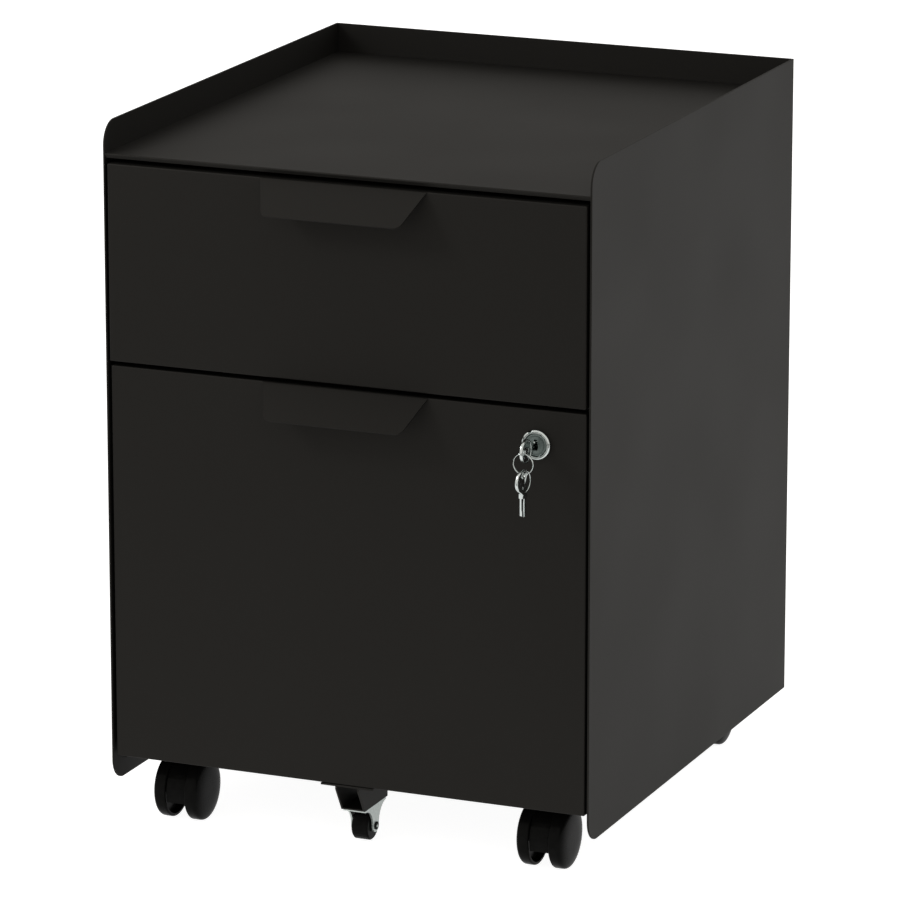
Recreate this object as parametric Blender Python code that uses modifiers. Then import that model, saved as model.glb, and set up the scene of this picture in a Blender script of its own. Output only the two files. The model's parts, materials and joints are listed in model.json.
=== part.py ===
"""Rolling pedestal cabinet: a folded-steel case with a shallow tray top, a box drawer over a
file drawer on telescopic slides, a cam lock with its keys, four twin-wheel castors and a small
fifth castor that stops the case tipping when the file drawer is open.

Metres, +Z up. The cabinet is WIDTH along X and DEPTH along Y, and its fronts face -Y. The floor
is at z = 0, and the origin is under the middle of the whole object, keys included.
"""
import math

import bmesh
import bpy
from mathutils import Matrix, Vector

# Overall sizes
WIDTH = 0.400
DEPTH = 0.440
HEIGHT = 0.560
KEY_REACH = 0.030                      # how far the key in the lock stands out in front
SPARE_REACH = 0.0348                   # the same for the key that hangs from it
FRONT = -(DEPTH - SPARE_REACH) / 2     # plane of the side panels' front edges
BACK = FRONT + DEPTH
GAP = 0.0003                           # kept between pieces that touch

# Case
PANEL = 0.0015                         # side and back panel sheet
SHEET = 0.0012                         # tray, drawer and rail sheet
PANEL_FOOT = 0.034                     # underside of the side panels
CORNER_RADIUS = 0.018
TRAY_FLOOR = HEIGHT - 0.024
TRAY_HEM = 0.0036                      # the folded front edge of the tray
TRAY_HEM_DEPTH = 0.012
BASE_TOP = 0.062
BASE_SHEET = 0.0016
BASE_FRONT = FRONT + 0.020
BASE_FLANGE = 0.012
CASE_IN = WIDTH / 2 - PANEL            # inner face of a side panel
LINER = CASE_IN - GAP                  # half width of what fits between the side panels

# Uprights that carry the slides
UPRIGHT_STAND_OFF = 0.008
UPRIGHT_WIDTH = 0.020
UPRIGHT_FRONT = FRONT + 0.022
UPRIGHT_REAR = FRONT + 0.405
UPRIGHT_FACE = LINER - UPRIGHT_STAND_OFF

# Drawer fronts: a pan with its returns pointing back, and a pull folded out of its top edge
FACE_HALF = 0.1962
FACE_DEPTH = 0.016
UPPER_FACE = (0.3737, 0.5285)          # bottom and top of the upper front
LOWER_FACE = (0.0558, 0.3699)
UPPER_PROUD = 0.001                    # the upper front closes just proud of the case
LOWER_PROUD = -0.001                   # and the lower one just inside it
PULL_TOP_HALF = 0.068
PULL_FOOT_HALF = 0.056
PULL_LENGTH = 0.0352
PULL_LEAN = math.radians(42)           # below the horizontal, outwards
PULL_CORNER = 0.006

# Drawer boxes
BOX_HALF = 0.1775
BOX_FRONT = FRONT + FACE_DEPTH - LOWER_PROUD + GAP
BOX_BACK = FRONT + 0.420
LINER_HALF = 0.1945
LINER_MARGIN = 0.0025                  # the box's front wall stops this far inside the face
UPPER_BOX = (0.384, 0.500)             # floor and rim of the upper box
LOWER_BOX = (0.066, 0.300)
FILE_RAIL_HEIGHT = 0.012
FILE_RAIL_WIDTH = 0.0035
FILE_RAIL_SKIRT = 0.006                # how far it reaches down over the box wall

# Telescopic slides
SLIDE_FRONT = FRONT + 0.040
SLIDE_BACK = FRONT + 0.425
SLIDE_HALF = {"rail": 0.0225, "middle": 0.0188, "runner": 0.0151}
SLIDE_LIP = {"rail": 0.0090, "middle": 0.0080, "runner": 0.0077}
SLIDE_NEST = 0.0022                    # from the rail's web to the middle member's
UPPER_SLIDE_Z = 0.440
LOWER_SLIDE_Z = 0.180

# Lock
LOCK_X = 0.1562
LOCK_Z = 0.343
ROSETTE_RADIUS = 0.0117
ROSETTE_PROUD = 0.0032
ROSETTE_RIM = 0.0012
ROSETTE_BEVEL = 0.0018
BARREL_RADIUS = 0.0102
BARREL_END = FRONT + 0.022
PLUG_RADIUS = 0.0086
PLUG_FACE = FRONT - 0.0012
CAM_FRONT = FRONT + 0.0235
CAM_THICK = 0.002
CAM_HALF = 0.005
CAM_REACH = 0.0333
CAM_HUB = 0.009
TAIL_RADIUS = 0.004
LOCK_LIFT = 0.008                      # rise of the lock bar over a quarter turn
LOCK_BAR_THICK = 0.0024
LOCK_BAR_DEPTH = 0.010
LOCK_BAR_TOP = 0.410
STRIKE_INNER = 0.178
STRIKE_FRONT = FRONT + 0.0203
STRIKE_FOOT = 0.020
STRIKE_BOTTOM = LOCK_Z - 0.022
STRIKE_TOP = LOCK_Z - 0.008
CATCH_FRONT = FRONT + 0.0365
CATCH_FOOT = 0.016
CATCH_BOTTOM = LOCK_BAR_TOP + 0.0015
CATCH_TOP = CATCH_BOTTOM + 0.005
KEY_THICK = 0.0022
KEY_SLOT_HALF = 0.0042
KEY_SLOT_END = FRONT + 0.0150

# Keys and their ring
BOW_LENGTH = 0.019
BOW_HALF = 0.00925
BOW_HOLE = 0.0045                      # from the end of the bow to its hole
BOW_HOLE_RADIUS = 0.0018
NECK_HALF = 0.0042
BLADE_HALF = 0.0034
BLADE_LENGTH = 0.018
RING_RADIUS = 0.0079
RING_WIRE = 0.00062
SPARE_TURN = math.radians(-12)         # the hanging key faces a little off square
KEY_Y = FRONT - KEY_REACH + BOW_HOLE   # plane that the ring hangs in

# Swivel castors
CASTOR_X = 0.1532
CASTOR_FRONT_Y = FRONT + 0.050
CASTOR_REAR_Y = BACK - 0.050
CASTOR_TRAIL = 0.012
WHEEL_RADIUS = 0.025
WHEEL_INNER = 0.0082
WHEEL_TREAD_END = 0.0151
WHEEL_SHOULDER = 0.019
WHEEL_CROWN = 0.0202
WHEEL_BORE_END = 0.0160
HUB_HALF = 0.0076
HUB_RADIUS = 0.0228
HUB_FOOT = 0.017
AXLE_RADIUS = 0.003
STEM_RADIUS = 0.005
STEM_FOOT = 0.044
NECK_TOP = 0.0505
COLLAR_TOP = 0.0568
COLLAR_RADIUS = 0.0105
FLANGE_RADIUS = 0.016
NECK_HALF_DEPTH = 0.010
NECK_FOOT = 0.030
WHEEL_ROUND = 0.006                    # inward run of the wheel's outer shoulder
WHEEL_EDGE = 0.0006
WHEEL_DISH = 0.010                     # radius of the nearly flat middle of its face

# Fifth castor under the file drawer
TILT_BRACKET_HALF = 0.010
TILT_FLANGE_HALF = 0.022
TILT_BRACKET_FOOT = 0.032
TILT_BRACKET_FRONT = FRONT + 0.0012
TILT_BRACKET_TOE = FRONT + 0.013
TILT_BRACKET_BACK = FRONT + 0.057
TILT_FORK_FRONT = FRONT + 0.0155
TILT_FORK_BACK = FRONT + 0.0545
TILT_AXLE_Y = FRONT + 0.0355
TILT_AXLE_Z = 0.0142
TILT_WHEEL_RADIUS = 0.0118
TILT_WHEEL_HALF = 0.0069
TILT_EAR_HALF = 0.0095
TILT_AXLE_RADIUS = 0.0019
TILT_HEAD_RADIUS = 0.0032
TILT_SHEET = 0.0015
TILT_PLATE_BACK = FRONT + 0.0145
TILT_SHOULDER = 0.002                  # below the plate, where the bracket's slope starts
TILT_EAR_TIP = 0.0052
TILT_WHEEL_EDGE = 0.0012


# ---------------------------------------------------------------- scene and materials

def clear_scene():
    for obj in list(bpy.data.objects):
        bpy.data.objects.remove(obj, do_unlink=True)


def new_collection(name):
    collection = bpy.data.collections.new(name)
    bpy.context.scene.collection.children.link(collection)
    return collection


def material(name, colour, roughness, metallic):
    mat = bpy.data.materials.new(name)
    mat.use_nodes = True
    shader = mat.node_tree.nodes["Principled BSDF"]
    shader.inputs["Base Color"].default_value = (*colour, 1.0)
    shader.inputs["Roughness"].default_value = roughness
    shader.inputs["Metallic"].default_value = metallic
    mat.diffuse_color = (*colour, 1.0)
    return mat


clear_scene()
PARTS = new_collection("rolling_pedestal_cabinet")
CUTTERS = new_collection("cutters")

BLACK_STEEL = material("black_powder_coat", (0.030, 0.029, 0.027), 0.55, 0.0)
BLACK_PLASTIC = material("black_plastic", (0.012, 0.012, 0.012), 0.40, 0.0)
ZINC = material("zinc_plate", (0.62, 0.64, 0.64), 0.35, 1.0)
CHROME = material("chrome", (0.80, 0.82, 0.82), 0.12, 1.0)
LOCK_METAL = material("lock_disc", (0.25, 0.28, 0.28), 0.35, 1.0)


# ---------------------------------------------------------------- building helpers

def add_object(name, mesh, collection=None, mat=None):
    obj = bpy.data.objects.new(name, mesh)
    (collection or PARTS).objects.link(obj)
    if mat and not mesh.materials:
        mesh.materials.append(mat)
    return obj


def shade(obj, angle=35):
    obj.data.shade_smooth()
    obj.data.set_sharp_from_angle(angle=math.radians(angle))


def box(name, low, high, mat=None, collection=None):
    """An upright block between two corners."""
    low, high = Vector(low), Vector(high)
    mesh = bpy.data.meshes.new(name)
    bm = bmesh.new()
    bmesh.ops.create_cube(bm, size=1.0, matrix=Matrix.Diagonal((*(high - low), 1.0)))
    bm.to_mesh(mesh)
    bm.free()
    obj = add_object(name, mesh, collection, mat)
    obj.location = (low + high) / 2
    return obj


def pan(name, low, high, open_side, mat):
    """A five-walled sheet box whose wall towards open_side is missing."""
    obj = box(name, low, high, mat)
    bm = bmesh.new()
    bm.from_mesh(obj.data)
    missing = [face for face in bm.faces if face.normal.dot(Vector(open_side)) > 0.9]
    bmesh.ops.delete(bm, geom=missing, context='FACES')
    bm.to_mesh(obj.data)
    bm.free()
    sheet = obj.modifiers.new("Sheet", 'SOLIDIFY')
    sheet.thickness = SHEET
    sheet.offset = -1
    sheet.use_even_offset = True
    return obj


def arc(centre, radius, start, end, steps):
    """Points on a circle, from one angle in degrees to another."""
    points = []
    for i in range(steps + 1):
        angle = math.radians(start + (end - start) * i / steps)
        points.append((centre[0] + radius * math.cos(angle), centre[1] + radius * math.sin(angle)))
    return points


AXIS_FRAME = {
    "X": Matrix(((0, 0, 1), (1, 0, 0), (0, 1, 0))),     # outline is (y, z)
    "Y": Matrix(((1, 0, 0), (0, 0, -1), (0, 1, 0))),    # outline is (x, z)
    "Z": Matrix.Identity(3),                            # outline is (x, y)
}


def mesh_from_curve(curve_object, mat=None, collection=None):
    """Replace a filled curve by the closed mesh it draws."""
    bpy.context.view_layer.update()
    evaluated = curve_object.evaluated_get(bpy.context.evaluated_depsgraph_get())
    mesh = bpy.data.meshes.new_from_object(evaluated)
    bm = bmesh.new()
    bm.from_mesh(mesh)
    bmesh.ops.remove_doubles(bm, verts=bm.verts, dist=0.000001)
    bm.to_mesh(mesh)
    bm.free()
    name = curve_object.name
    placed = curve_object.matrix_world.copy()
    bpy.data.objects.remove(curve_object, do_unlink=True)
    obj = add_object(name, mesh, collection, mat)
    obj.name = name
    obj.matrix_world = placed
    return obj


def profile_bar(name, outline, axis, start, end, mat=None, collection=None):
    """A flat outline drawn across one axis and run along it from start to end."""
    curve = bpy.data.curves.new(name, 'CURVE')
    curve.dimensions = '2D'
    curve.fill_mode = 'BOTH'
    curve.extrude = abs(end - start) / 2
    spline = curve.splines.new('POLY')
    spline.points.add(len(outline) - 1)
    for point, (u, v) in zip(spline.points, outline):
        point.co = (u, v, 0.0, 1.0)
    spline.use_cyclic_u = True
    drawn = add_object(name, curve, CUTTERS)
    middle = (start + end) / 2
    offset = Vector([middle if letter == axis else 0.0 for letter in "XYZ"])
    drawn.matrix_world = Matrix.Translation(offset) @ AXIS_FRAME[axis].to_4x4()
    return mesh_from_curve(drawn, mat, collection)


def turned(name, profile, steps, axis, place, mat=None, collection=None):
    """A profile of (radius, height) from the top down its outer side, turned about an axis."""
    mesh = bpy.data.meshes.new(name)
    edges = [(i, i + 1) for i in range(len(profile) - 1)]
    mesh.from_pydata([(radius, 0.0, height) for radius, height in profile], edges, [])
    obj = add_object(name, mesh, collection, mat)
    screw = obj.modifiers.new("Turn", 'SCREW')
    screw.steps = screw.render_steps = steps
    screw.use_merge_vertices = True
    screw.merge_threshold = 0.00001
    screw.use_smooth_shade = False
    turns = {"Z": (0, 0, 0), "X": (0, math.pi / 2, 0), "-X": (0, -math.pi / 2, 0),
             "-Y": (math.pi / 2, 0, 0)}
    obj.rotation_euler = turns[axis]
    obj.location = place
    return obj


def cylinder(name, radius, low, high, axis, place, steps=24, mat=None, collection=None):
    """A plain round bar from low to high along an axis, measured from place."""
    profile = [(0.0, high), (radius, high), (radius, low), (0.0, low)]
    return turned(name, profile, steps, axis, place, mat, collection)


def combine(obj, other, operation):
    """Cut other out of obj, or weld it on, and keep it as a hidden guide."""
    modifier = obj.modifiers.new(operation.title(), 'BOOLEAN')
    modifier.operation = operation
    modifier.solver = 'EXACT'
    modifier.object = other
    other.hide_render = True
    other.display_type = 'WIRE'
    for collection in list(other.users_collection):
        collection.objects.unlink(other)
    CUTTERS.objects.link(other)


def cut(obj, cutter):
    combine(obj, cutter, 'DIFFERENCE')


def weld(obj, other):
    combine(obj, other, 'UNION')


def baked_mesh(obj):
    """A piece's finished mesh, for copies of it to share or for moving it off its cutters."""
    bpy.context.view_layer.update()
    evaluated = obj.evaluated_get(bpy.context.evaluated_depsgraph_get())
    mesh = bpy.data.meshes.new_from_object(evaluated)
    mesh.transform(obj.matrix_world)
    guides = [modifier.object for modifier in obj.modifiers if modifier.type == 'BOOLEAN']
    for finished in [obj, *guides]:
        bpy.data.objects.remove(finished, do_unlink=True)
    return mesh


def joint_empty(name, place):
    """An empty on a joint's axis; what moves with that joint hangs under it."""
    empty = bpy.data.objects.new(name, None)
    empty.empty_display_size = 0.02
    empty.location = place
    PARTS.objects.link(empty)
    return empty


def carry(empty, *pieces):
    bpy.context.view_layer.update()
    for piece in pieces:
        piece.parent = empty
        piece.matrix_parent_inverse = empty.matrix_world.inverted()


# ---------------------------------------------------------------- case

def side_panel(side, sign):
    """A flat side whose two front corners are rounded."""
    r = CORNER_RADIUS
    outline = arc((FRONT + r, HEIGHT - r), r, 180, 90, 10)
    outline += [(BACK, HEIGHT), (BACK, PANEL_FOOT)]
    outline += arc((FRONT + r, PANEL_FOOT + r), r, 270, 180, 10)
    return profile_bar(f"{side}_side_panel", outline, "X", sign * CASE_IN, sign * WIDTH / 2,
                       BLACK_STEEL)


def back_panel():
    return box("back_panel", (-LINER, BACK - PANEL, PANEL_FOOT), (LINER, BACK, HEIGHT), BLACK_STEEL)


def top_panel():
    """The tray floor, with its front edge hemmed into a rounded nose."""
    nose = TRAY_HEM / 2
    start = FRONT + GAP
    outline = arc((start + nose, TRAY_FLOOR - nose), nose, 270, 90, 8)
    outline += [(BACK - PANEL - GAP, TRAY_FLOOR), (BACK - PANEL - GAP, TRAY_FLOOR - SHEET),
                (FRONT + TRAY_HEM_DEPTH, TRAY_FLOOR - SHEET),
                (FRONT + TRAY_HEM_DEPTH, TRAY_FLOOR - TRAY_HEM)]
    return profile_bar("top_panel", outline, "X", -LINER, LINER, BLACK_STEEL)


def bottom_panel():
    """The base sheet that the castors bolt to, with its two long edges folded down."""
    under = BASE_TOP - BASE_SHEET
    foot = under - BASE_FLANGE
    outline = [(-LINER, foot), (-LINER + SHEET, foot), (-LINER + SHEET, under),
               (LINER - SHEET, under), (LINER - SHEET, foot), (LINER, foot),
               (LINER, BASE_TOP), (-LINER, BASE_TOP)]
    return profile_bar("bottom_panel", outline, "Y", BASE_FRONT, BACK - PANEL - GAP, BLACK_STEEL)


def upright(name, sign, front):
    """A channel stood on the base against a side panel; the slides screw to its web."""
    outer = sign * LINER
    web = sign * UPRIGHT_FACE
    inner = sign * (UPRIGHT_FACE + SHEET)
    back = front + UPRIGHT_WIDTH
    outline = [(outer, front), (web, front), (web, back), (outer, back),
               (outer, back - SHEET), (inner, back - SHEET), (inner, front + SHEET),
               (outer, front + SHEET)]
    return profile_bar(name, outline, "Z", BASE_TOP + GAP, TRAY_FLOOR - SHEET - GAP, BLACK_STEEL)


def slide_channel(name, sign, web, lip, half, centre):
    """One member of a slide: a channel with its web at one x and its lips ending at another."""
    inward = SHEET if web > lip else -SHEET
    shape = [(web, -half), (lip, -half), (lip, SHEET - half), (web - inward, SHEET - half),
             (web - inward, half - SHEET), (lip, half - SHEET), (lip, half), (web, half)]
    outline = [(sign * x, centre + z) for x, z in shape]
    return profile_bar(name, outline, "Y", SLIDE_FRONT, SLIDE_BACK, ZINC)


def slide_set(level, side, sign, centre):
    """Case rail, middle member and drawer runner, nested from the upright to the drawer."""
    rail_web = UPRIGHT_FACE - GAP
    runner_web = BOX_HALF + GAP
    middle_web = rail_web - SLIDE_NEST
    rail = slide_channel(f"{level}_slide_rail_{side}", sign, rail_web, rail_web - SLIDE_LIP["rail"],
                         SLIDE_HALF["rail"], centre)
    middle = slide_channel(f"{level}_slide_middle_{side}", sign, middle_web,
                           middle_web - SLIDE_LIP["middle"], SLIDE_HALF["middle"], centre)
    runner = slide_channel(f"{level}_slide_runner_{side}", sign, runner_web,
                           runner_web + SLIDE_LIP["runner"], SLIDE_HALF["runner"], centre)
    return rail, middle, runner


# ---------------------------------------------------------------- drawers

def drawer_front(name, face, proud):
    """A pan-shaped front with a leaning pull folded out of its top edge."""
    plane = FRONT - proud
    front = pan(name, (-FACE_HALF, plane, face[0]), (FACE_HALF, plane + FACE_DEPTH, face[1]),
                (0, 1, 0), BLACK_STEEL)
    weld(front, pull_tab(name + "_pull", plane, face[1]))
    return front


def pull_tab(name, plane, top):
    """A tapered sheet tab that leaves the top edge outwards and down, with rounded corners."""
    r = PULL_CORNER
    slant = math.degrees(math.atan2(PULL_LENGTH, PULL_TOP_HALF - PULL_FOOT_HALF))
    set_in = r * math.tan(math.radians(slant / 2))
    corner = arc((PULL_FOOT_HALF - set_in, r - PULL_LENGTH), r, slant - 90, -90, 6)
    right = [(PULL_TOP_HALF, 0.0), *corner]
    outline = right + [(-x, y) for x, y in reversed(right)]
    tab = profile_bar(name, outline, "Z", -SHEET, 0.0, None, CUTTERS)
    root = Matrix.Translation((0.0, plane + GAP / 2, top - GAP / 2))
    tab.matrix_world = root @ Matrix.Rotation(PULL_LEAN, 4, 'X') @ tab.matrix_world
    return tab


def drawer_box(name, level, face):
    """An open-topped sheet box welded to a wide plate that closes the back of the front."""
    floor, rim = level
    body = pan(name, (-BOX_HALF, BOX_FRONT, floor), (BOX_HALF, BOX_BACK, rim), (0, 0, 1),
               BLACK_STEEL)
    plate = box(name + "_plate", (-LINER_HALF, BOX_FRONT, face[0] + LINER_MARGIN),
                (LINER_HALF, BOX_FRONT + SHEET, face[1] - LINER_MARGIN))
    weld(body, plate)
    return body


def file_rail(side, sign):
    """A hook-shaped strip on the box rim that hanging files ride on."""
    wall = BOX_HALF
    inner = wall - SHEET - GAP - FILE_RAIL_WIDTH
    rim = LOWER_BOX[1]
    foot, top = rim - FILE_RAIL_SKIRT, rim + FILE_RAIL_HEIGHT
    saddle = rim + GAP + PANEL
    outer = wall + GAP + SHEET
    shape = [(inner, foot), (inner, top), (inner + PANEL, top), (inner + PANEL, saddle),
             (outer, saddle), (outer, foot), (wall + GAP, foot), (wall + GAP, rim + GAP),
             (wall - SHEET - GAP, rim + GAP), (wall - SHEET - GAP, foot)]
    outline = [(sign * x, z) for x, z in shape]
    return profile_bar(f"hanging_file_rail_{side}", outline, "Y", BOX_FRONT + 0.008,
                       BOX_BACK - 0.006, ZINC)


# ---------------------------------------------------------------- lock and keys

def lock_barrel():
    """The fixed barrel: a wide rosette in front of the drawer face, bored for the plug."""
    face = FRONT - LOWER_PROUD
    profile = [(0.0, face - GAP), (ROSETTE_RADIUS, face - GAP),
               (ROSETTE_RADIUS, face - GAP - ROSETTE_RIM),
               (ROSETTE_RADIUS - ROSETTE_BEVEL, face - ROSETTE_PROUD), (0.0, face - ROSETTE_PROUD)]
    rosette = turned("lock_barrel", [(r, -y) for r, y in reversed(profile)], 32, "-Y",
                     (LOCK_X, 0, LOCK_Z), CHROME)
    body = cylinder("lock_barrel_body", BARREL_RADIUS, -BARREL_END, -face + 0.001, "-Y",
                    (LOCK_X, 0, LOCK_Z))
    bore = cylinder("lock_barrel_bore", PLUG_RADIUS + GAP, -BARREL_END - 0.01, -FRONT + 0.01, "-Y",
                    (LOCK_X, 0, LOCK_Z))
    weld(rosette, body)
    cut(rosette, bore)
    return rosette


def lock_hole(name):
    return cylinder(name, BARREL_RADIUS + GAP, -FRONT - 0.03, -FRONT + 0.01, "-Y",
                    (LOCK_X, 0, LOCK_Z))


def lock_plug():
    """The turning plug, slotted for the key and stepped down to a tail for the cam."""
    profile = [(0.0, -PLUG_FACE), (PLUG_RADIUS, -PLUG_FACE), (PLUG_RADIUS, GAP - CAM_FRONT),
               (TAIL_RADIUS, GAP - CAM_FRONT), (TAIL_RADIUS, -CAM_FRONT - CAM_THICK - 0.0015),
               (0.0, -CAM_FRONT - CAM_THICK - 0.0015)]
    plug = turned("lock_plug", profile, 32, "-Y", (LOCK_X, 0, LOCK_Z), LOCK_METAL)
    half = KEY_THICK / 2 + GAP
    slot = box("lock_plug_slot", (LOCK_X - half, PLUG_FACE - 0.002, LOCK_Z - KEY_SLOT_HALF),
               (LOCK_X + half, KEY_SLOT_END, LOCK_Z + KEY_SLOT_HALF), None, CUTTERS)
    cut(plug, slot)
    return plug


def lock_cam():
    """The arm behind the drawer front; it hangs down when the lock is open."""
    tip = LOCK_Z - CAM_REACH + CAM_HALF
    outline = arc((LOCK_X, LOCK_Z), CAM_HUB, -34, 214, 12)
    outline += arc((LOCK_X, tip), CAM_HALF, 180, 360, 8)
    cam = profile_bar("lock_cam", outline, "Y", CAM_FRONT, CAM_FRONT + CAM_THICK, ZINC)
    bore = cylinder("lock_cam_bore", TAIL_RADIUS + GAP, -CAM_FRONT - 0.01, -CAM_FRONT + 0.01, "-Y",
                    (LOCK_X, 0, LOCK_Z))
    cut(cam, bore)
    return cam


def key_outline():
    """A key lying along +u: round-ended bow from 0, neck, and blade."""
    neck = BOW_LENGTH + 0.0025
    tip = BOW_LENGTH + BLADE_LENGTH
    half_length = BOW_LENGTH / 2
    reach = math.asin(NECK_HALF / BOW_HALF)
    bow = []
    for i in range(25):
        angle = reach + (2 * math.pi - 2 * reach) * i / 24
        bow.append((half_length + half_length * math.cos(angle), BOW_HALF * math.sin(angle)))
    blade = [(neck, -NECK_HALF), (neck, -BLADE_HALF), (tip - 0.002, -BLADE_HALF),
             (tip, 0.0), (tip - 0.002, BLADE_HALF), (neck, BLADE_HALF), (neck, NECK_HALF)]
    return bow + blade


def key(name):
    """A key in its own frame: bow end at the origin, blade along +Y, flat faces along X."""
    body = profile_bar(name, key_outline(), "X", -KEY_THICK / 2, KEY_THICK / 2, CHROME)
    hole = turned(name + "_hole", [(0.0, 0.01), (BOW_HOLE_RADIUS, 0.01), (BOW_HOLE_RADIUS, -0.01),
                                   (0.0, -0.01)], 16, "X", (0, BOW_HOLE, 0), None, CUTTERS)
    cut(body, hole)
    return add_object(name, baked_mesh(body))


def ring_height():
    """Where the wire passes through the bow of the key in the lock."""
    return LOCK_Z - BOW_HOLE_RADIUS + RING_WIRE + GAP


def spare_hole_height():
    """Centre of the hanging key's hole, with the wire bearing on the top of that hole."""
    wire = ring_height() - 2 * RING_RADIUS
    return wire - BOW_HOLE_RADIUS + RING_WIRE + GAP


def place_keys():
    in_lock = key("lock_key")
    in_lock.location = (LOCK_X, FRONT - KEY_REACH, LOCK_Z)
    spare = key("spare_key")
    hang = Matrix.Rotation(math.radians(-90), 4, 'X')
    turn = Matrix.Rotation(SPARE_TURN, 4, 'Z')
    high = (LOCK_X, KEY_Y, spare_hole_height() + BOW_HOLE)
    spare.matrix_world = Matrix.Translation(high) @ turn @ hang
    return in_lock, spare


def key_ring():
    centre = (LOCK_X, KEY_Y, ring_height() - RING_RADIUS)
    bpy.ops.mesh.primitive_torus_add(major_radius=RING_RADIUS, minor_radius=RING_WIRE,
                                     major_segments=32, minor_segments=8, location=centre,
                                     rotation=(math.pi / 2, 0, 0))
    ring = bpy.context.object
    ring.name = "key_ring"
    for collection in list(ring.users_collection):
        collection.objects.unlink(ring)
    PARTS.objects.link(ring)
    ring.data.materials.append(CHROME)
    return ring


def lock_strike():
    """The plate on the right upright that the cam hooks behind, with its welded foot."""
    web = UPRIGHT_FACE - GAP
    y = STRIKE_FRONT
    outline = [(STRIKE_INNER, y), (web, y), (web, y + STRIKE_FOOT), (web - SHEET, y + STRIKE_FOOT),
               (web - SHEET, y + PANEL), (STRIKE_INNER, y + PANEL)]
    return profile_bar("lock_strike", outline, "Z", STRIKE_BOTTOM, STRIKE_TOP, ZINC)


def lock_bar():
    """The upright bar that the cam lifts; its top then stands before the upper drawer's catch."""
    right = UPRIGHT_FACE - GAP
    foot = LOCK_Z + CAM_HALF + GAP - LOCK_LIFT
    return box("lock_bar", (right - LOCK_BAR_THICK, CAM_FRONT, foot),
               (right, CAM_FRONT + LOCK_BAR_DEPTH, LOCK_BAR_TOP), ZINC)


def upper_drawer_catch():
    """A folded tab on the upper drawer's right side that the raised lock bar blocks."""
    y = CATCH_FRONT
    inner, outer = BOX_HALF + GAP, UPRIGHT_FACE - SHEET
    outline = [(inner, y), (outer, y), (outer, y + PANEL), (inner + SHEET, y + PANEL),
               (inner + SHEET, y + CATCH_FOOT), (inner, y + CATCH_FOOT)]
    return profile_bar("upper_drawer_catch", outline, "Z", CATCH_BOTTOM, CATCH_TOP, ZINC)


# ---------------------------------------------------------------- castors

def wheel_profile():
    """From the domed outer cap down over the tread and back up the blind bore."""
    shoulder = []
    for i in range(1, 4):
        angle = math.radians(90 * (1 - i / 4))
        shoulder.append((WHEEL_RADIUS - WHEEL_ROUND * (1 - math.cos(angle)),
                         WHEEL_TREAD_END + (WHEEL_SHOULDER - WHEEL_TREAD_END) * math.sin(angle)))
    return [(0.0, WHEEL_CROWN), (WHEEL_DISH, WHEEL_CROWN - 0.0002),
            (WHEEL_RADIUS - WHEEL_ROUND, WHEEL_SHOULDER), *shoulder, (WHEEL_RADIUS, WHEEL_TREAD_END),
            (WHEEL_RADIUS, WHEEL_INNER + WHEEL_EDGE), (WHEEL_RADIUS - WHEEL_EDGE, WHEEL_INNER),
            (AXLE_RADIUS + GAP, WHEEL_INNER), (AXLE_RADIUS + GAP, WHEEL_BORE_END),
            (0.0, WHEEL_BORE_END)]


def castor_wheel_mesh():
    return baked_mesh(turned("wheel", wheel_profile(), 28, "Z", (0, 0, 0), BLACK_PLASTIC))


def castor_stem_mesh():
    """The bolted flange and the pin that the castor swivels on, measured from the swivel axis."""
    flange = BASE_TOP - BASE_SHEET - GAP
    profile = [(0.0, flange), (FLANGE_RADIUS, flange), (FLANGE_RADIUS, COLLAR_TOP + GAP),
               (STEM_RADIUS, COLLAR_TOP + GAP), (STEM_RADIUS, STEM_FOOT), (0.0, STEM_FOOT)]
    return baked_mesh(turned("stem", profile, 24, "Z", (0, 0, 0), ZINC))


def castor_hub_mesh():
    """The swivelling body: a flat-footed disc between the wheels and a collar for the stem."""
    low = math.degrees(math.asin((WHEEL_RADIUS - HUB_FOOT) / HUB_RADIUS))
    outline = arc((-CASTOR_TRAIL, WHEEL_RADIUS), HUB_RADIUS, -low, 180 + low, 22)
    hub = profile_bar("hub", outline, "X", -HUB_HALF, HUB_HALF, BLACK_PLASTIC)
    weld(hub, box("hub_neck", (-HUB_HALF, -NECK_HALF_DEPTH, NECK_FOOT),
                  (HUB_HALF, NECK_HALF_DEPTH, NECK_TOP)))
    weld(hub, cylinder("hub_collar", COLLAR_RADIUS, NECK_TOP - GAP, COLLAR_TOP, "Z", (0, 0, 0)))
    cut(hub, cylinder("hub_socket", STEM_RADIUS + GAP, STEM_FOOT - 0.001, 0.080, "Z", (0, 0, 0)))
    cut(hub, cylinder("hub_bore", AXLE_RADIUS + GAP, -0.03, 0.03, "X",
                      (0, -CASTOR_TRAIL, WHEEL_RADIUS)))
    return baked_mesh(hub)


def castor_axle_mesh():
    reach = WHEEL_BORE_END - GAP
    return baked_mesh(cylinder("axle", AXLE_RADIUS, -reach, reach, "X", (0, 0, 0), 20, ZINC))


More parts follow.
